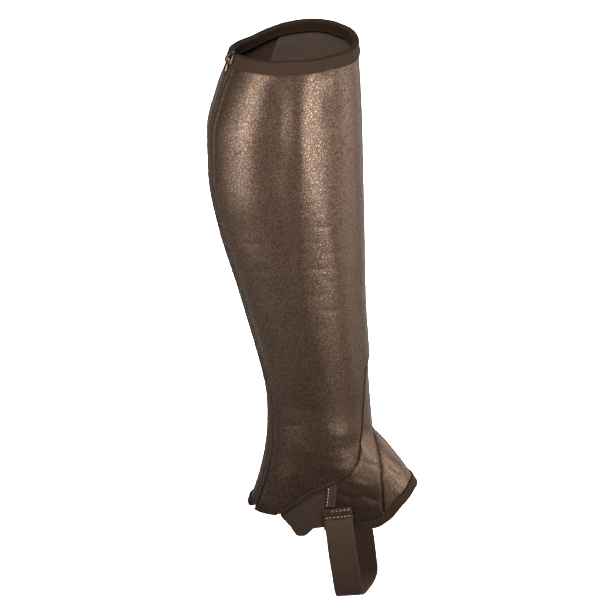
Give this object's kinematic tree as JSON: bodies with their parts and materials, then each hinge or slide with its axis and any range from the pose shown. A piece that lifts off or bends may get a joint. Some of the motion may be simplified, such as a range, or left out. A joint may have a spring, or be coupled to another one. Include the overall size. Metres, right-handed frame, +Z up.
{
  "type": "half chap",
  "caption": "Riding half chap in brown synthetic leather, in its worn form: zipped leg wrap, flared vamp, elastic gussets and an elastic strap under the foot.",
  "frame": {"origin": "middle of the hollow at the calf's fullest level, where the wearer's leg holds it", "axes": "+Z up the leg to the rim, +X to the shin and toes, -Y the outer side of the leg, with the zip behind it"},
  "size_m": [0.1833, 0.0982, 0.5361],
  "materials": {
    "leather": "brown synthetic leather, pebbled grain, half gloss",
    "lining": "brushed polyester",
    "elastic": "woven elastic, matt",
    "ribbed_elastic": "elastic with fine upright ribs, matt",
    "ribbon": "ribbed ribbon, matt",
    "zip_plastic": "nylon coil, half gloss",
    "metal": "zinc alloy, polished"
  },
  "bodies": {
    "chap": {"main_panel": "leather", "lining": "lining", "stretch_panel": "elastic", "rim_binding": "ribbon", "hem_binding_outer": "ribbon", "hem_binding_inner": "ribbon", "zip_tape_outer": "ribbon", "zip_tape_inner": "ribbon", "zip_chain": "zip_plastic", "zip_slider": "metal", "vamp_outer": "leather", "vamp_inner": "leather", "vamp_godet": "leather", "vamp_binding": "ribbon", "gusset_outer": "ribbed_elastic", "gusset_inner": "ribbed_elastic", "seam_tape_outer": "ribbon", "seam_tape_inner": "ribbon", "stirrup_strap": "elastic", "strap_patch_outer": "leather", "strap_patch_inner": "leather"},
    "pull": {"zip_pull": "metal"}
  },
  "joints": [
    {"name": "pull_swing", "type": "hinge", "parent": "chap", "child": "pull", "pos_m": [-0.04702, -0.01569, 0.09247], "axis": [-0.3365, 0.9364, 0.0999], "range_deg": [0, 160]}
  ]
}
